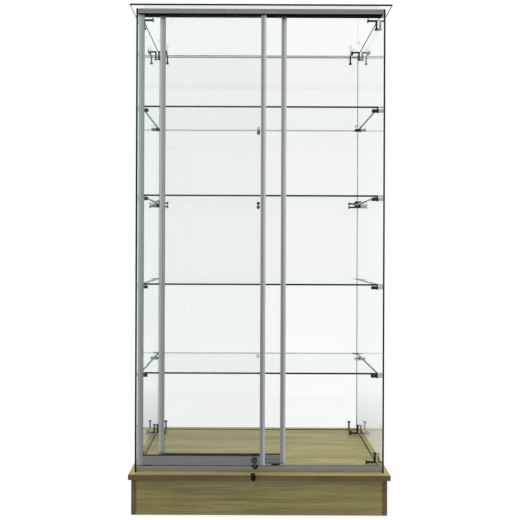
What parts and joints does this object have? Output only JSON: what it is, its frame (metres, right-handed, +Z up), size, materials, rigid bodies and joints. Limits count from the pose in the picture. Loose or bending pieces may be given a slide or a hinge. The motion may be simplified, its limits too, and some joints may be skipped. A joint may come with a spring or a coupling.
{
  "type": "glass display case",
  "caption": "Floor-standing full-height glass display case on a wooden plinth, with sliding glass doors on an aluminium track, glass shelves on bonded studs and a push lock.",
  "frame": {"origin": "centre of the plinth's footprint at floor level, under the glides", "axes": "+X to the right seen from the front, +Y to the back, +Z up; the doors face -Y"},
  "size_m": [0.9, 0.4403, 1.759],
  "materials": {
    "glass": "clear float glass with polished edges, green seen through the edge",
    "oak_board": "pale khaki oak-effect melamine with a horizontal grain, satin",
    "oak_edging": "darker oak-effect edging strip, satin",
    "pine_block": "raw softwood",
    "zinc_screw": "zinc plated",
    "black_plastic": "moulded black plastic",
    "track_aluminium": "satin anodised extrusion",
    "door_aluminium": "satin anodised extrusion",
    "rail_aluminium": "satin anodised extrusion",
    "black_rubber": "extruded glazing strip",
    "clear_silicone": "clear silicone",
    "dark_nickel": "polished dark nickel",
    "lock_nickel": "polished dark nickel",
    "bright_steel": "nickel plated steel"
  },
  "bodies": {
    "case": {"glides": "black_plastic", "skirt_front": "oak_board", "skirt_back": "oak_board", "skirt_left": "oak_board", "skirt_right": "oak_board", "skirt_edging": "oak_edging", "cross_rail": "pine_block", "corner_blocks": "pine_block", "plinth_screws": "zinc_screw", "deck": "oak_board", "deck_edging": "oak_edging", "side_glass_left": "glass", "side_glass_right": "glass", "back_glass": "glass", "top_glass": "glass", "top_track": "track_aluminium", "bottom_track": "track_aluminium", "track_screws": "zinc_screw", "door_buffers": "clear_silicone", "shelf_1": "glass", "shelf_2": "glass", "shelf_3": "glass", "shelf_4": "glass", "shelf_studs_1": "dark_nickel", "shelf_studs_2": "dark_nickel", "shelf_studs_3": "dark_nickel", "shelf_studs_4": "dark_nickel", "shelf_pads": "clear_silicone", "top_front_brackets": "dark_nickel", "top_back_brackets": "dark_nickel", "middle_back_brackets": "dark_nickel", "bottom_front_brackets": "dark_nickel", "bottom_back_brackets": "dark_nickel"},
    "door_a": {"door_a_glass": "glass", "door_a_stile_left": "door_aluminium", "door_a_stile_right": "door_aluminium", "door_a_rail": "rail_aluminium", "door_a_gasket": "black_rubber", "door_a_carriages": "black_plastic", "door_a_axles": "bright_steel", "lock_housing": "lock_nickel", "lock_spring": "bright_steel"},
    "door_b": {"door_b_glass": "glass", "door_b_stile_left": "door_aluminium", "door_b_stile_right": "door_aluminium", "door_b_rail": "rail_aluminium", "door_b_gasket": "black_rubber", "door_b_carriages": "black_plastic", "door_b_axles": "bright_steel"},
    "wheel_a_left": {"wheel_a_left": "bright_steel"},
    "wheel_a_right": {"wheel_a_right": "bright_steel"},
    "wheel_b_left": {"wheel_b_left": "bright_steel"},
    "wheel_b_right": {"wheel_b_right": "bright_steel"},
    "lock_barrel": {"lock_barrel": "lock_nickel"},
    "key": {"lock_plug": "bright_steel", "key": "black_plastic"},
    "key_ring": {"key_ring": "bright_steel"},
    "spare_key": {"spare_key": "black_plastic"}
  },
  "joints": [
    {"name": "door_a_slide", "type": "slide", "parent": "case", "child": "door_a", "axis": [1, 0, 0], "range_m": [0, 0.405]},
    {"name": "door_b_slide", "type": "slide", "parent": "case", "child": "door_b", "axis": [1, 0, 0], "range_m": [-0.072, 0.333]},
    {"name": "wheel_a_left_spin", "type": "hinge", "parent": "door_a", "child": "wheel_a_left", "pos_m": [-0.3905, -0.1695, 0.1639], "axis": [0, 1, 0], "continuous": true},
    {"name": "wheel_a_right_spin", "type": "hinge", "parent": "door_a", "child": "wheel_a_right", "pos_m": [-0.0145, -0.1695, 0.1639], "axis": [0, 1, 0], "continuous": true},
    {"name": "wheel_b_left_spin", "type": "hinge", "parent": "door_b", "child": "wheel_b_left", "pos_m": [-0.3185, -0.1585, 0.1639], "axis": [0, 1, 0], "continuous": true},
    {"name": "wheel_b_right_spin", "type": "hinge", "parent": "door_b", "child": "wheel_b_right", "pos_m": [0.0575, -0.1585, 0.1639], "axis": [0, 1, 0], "continuous": true},
    {"name": "lock_push", "type": "slide", "parent": "door_a", "child": "lock_barrel", "axis": [0, 1, 0], "range_m": [0, 0.005], "stiffness_N_per_m": 250, "deforming": ["lock_spring"]},
    {"name": "key_turn", "type": "hinge", "parent": "lock_barrel", "child": "key", "pos_m": [-0.016, -0.185, 0.183], "axis": [0, -1, 0], "range_deg": [0, 90]},
    {"name": "ring_turn", "type": "hinge", "parent": "key", "child": "key_ring", "pos_m": [-0.02133, -0.23106, 0.17578], "axis": [-0.766, 0.6428, 0], "range_deg": [-30, 60]},
    {"name": "spare_key_swing", "type": "hinge", "parent": "key_ring", "child": "spare_key", "pos_m": [-0.02133, -0.23106, 0.16478], "axis": [-0.6428, -0.766, 0], "range_deg": [-60, 60]}
  ],
  "couplings": [
    {"joint": "wheel_a_left_spin", "follows": "door_a_slide", "rad_per_m": 200},
    {"joint": "wheel_a_right_spin", "follows": "door_a_slide", "rad_per_m": 200},
    {"joint": "wheel_b_left_spin", "follows": "door_b_slide", "rad_per_m": 200},
    {"joint": "wheel_b_right_spin", "follows": "door_b_slide", "rad_per_m": 200}
  ]
}
